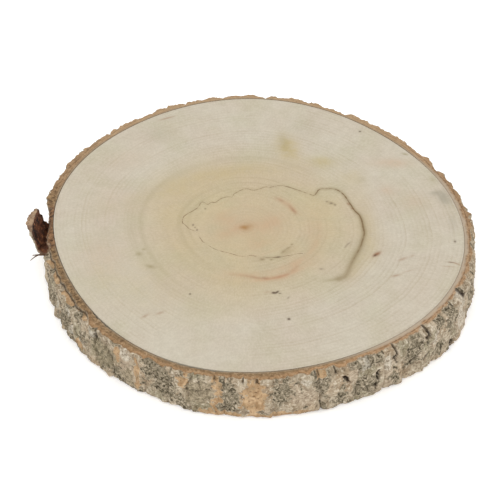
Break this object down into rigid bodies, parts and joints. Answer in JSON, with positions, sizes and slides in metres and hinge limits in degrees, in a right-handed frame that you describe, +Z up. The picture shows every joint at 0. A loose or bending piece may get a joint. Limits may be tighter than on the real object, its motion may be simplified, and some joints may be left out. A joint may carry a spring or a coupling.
{
  "type": "wood slice",
  "caption": "Round slice sawn across a tree trunk, flat on both faces, with rough ridged bark round its rim and a flake of bark peeling off at one side.",
  "frame": {"origin": "middle of the wood's outline on the underside, which the slice rests on", "axes": "+Z up through the thickness, +X to the right and +Y away as the picture shows the slice"},
  "size_m": [0.2599, 0.2548, 0.028],
  "materials": {
    "bark_and_wood": "fine-sawn pale end grain on both faces, with dry grey lichened bark over tan inner bark round the rim"
  },
  "bodies": {
    "root": {"wood_slice": "bark_and_wood"}
  },
  "joints": []
}
